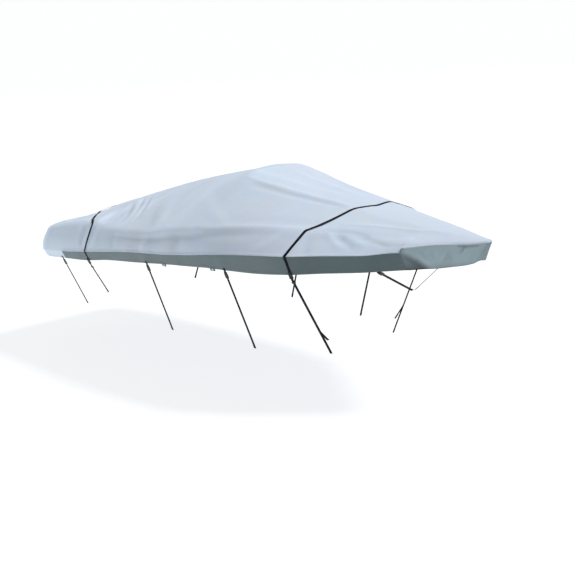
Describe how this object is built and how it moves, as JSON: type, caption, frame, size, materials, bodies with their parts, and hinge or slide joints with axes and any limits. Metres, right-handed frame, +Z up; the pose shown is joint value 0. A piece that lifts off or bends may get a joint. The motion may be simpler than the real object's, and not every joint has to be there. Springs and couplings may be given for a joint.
{
  "type": "boat cover",
  "caption": "Fitted cloth cover for a small open runabout: hollow shell draped over a peak, with a drawn-in skirt, straps over the top and tie-down straps at the hem.",
  "frame": {"origin": "middle of the underside of the peak, where the cover is held up", "axes": "+X to the nose, +Y to port, +Z up"},
  "size_m": [5.305, 2.196, 1.5871],
  "materials": {
    "roof_cloth": "silver-grey woven polyester, matt, slightly bluish",
    "skirt_cloth": "the same cloth in dark grey, matt",
    "nose_cloth": "the same cloth in mid grey, matt",
    "webbing": "black flat webbing, 25 mm",
    "plastic": "black moulded buckle plastic",
    "eyelet_metal": "dull plated steel"
  },
  "bodies": {
    "root": {"roof_panel": "roof_cloth", "skirt_starboard": "skirt_cloth", "skirt_port": "skirt_cloth", "skirt_nose": "nose_cloth", "strap_aft_over": "webbing", "strap_fore_over": "webbing", "buckle_aft_starboard": "plastic", "strap_aft_starboard": "webbing", "slide_aft_starboard": "plastic", "buckle_fore_starboard": "plastic", "strap_fore_starboard": "webbing", "slide_fore_starboard": "plastic", "spare_fore_starboard": "webbing", "anchor_stern_starboard": "webbing", "buckle_stern_starboard": "plastic", "strap_stern_starboard": "webbing", "anchor_mid_starboard": "webbing", "buckle_mid_starboard": "plastic", "strap_mid_starboard": "webbing", "anchor_fore_mid_starboard": "webbing", "buckle_fore_mid_starboard": "plastic", "strap_fore_mid_starboard": "webbing", "anchor_nose_starboard": "webbing", "buckle_nose_starboard": "plastic", "strap_nose_starboard": "webbing", "tab_1_starboard": "skirt_cloth", "eyelet_1_starboard": "eyelet_metal", "tab_2_starboard": "skirt_cloth", "eyelet_2_starboard": "eyelet_metal", "buckle_aft_port": "plastic", "strap_aft_port": "webbing", "slide_aft_port": "plastic", "buckle_fore_port": "plastic", "strap_fore_port": "webbing", "slide_fore_port": "plastic", "spare_fore_port": "webbing", "anchor_stern_port": "webbing", "buckle_stern_port": "plastic", "strap_stern_port": "webbing", "anchor_mid_port": "webbing", "buckle_mid_port": "plastic", "strap_mid_port": "webbing", "anchor_fore_mid_port": "webbing", "buckle_fore_mid_port": "plastic", "strap_fore_mid_port": "webbing", "anchor_nose_port": "webbing", "buckle_nose_port": "plastic", "strap_nose_port": "webbing", "tab_1_port": "skirt_cloth", "eyelet_1_port": "eyelet_metal", "tab_2_port": "skirt_cloth", "eyelet_2_port": "eyelet_metal"}
  },
  "joints": []
}
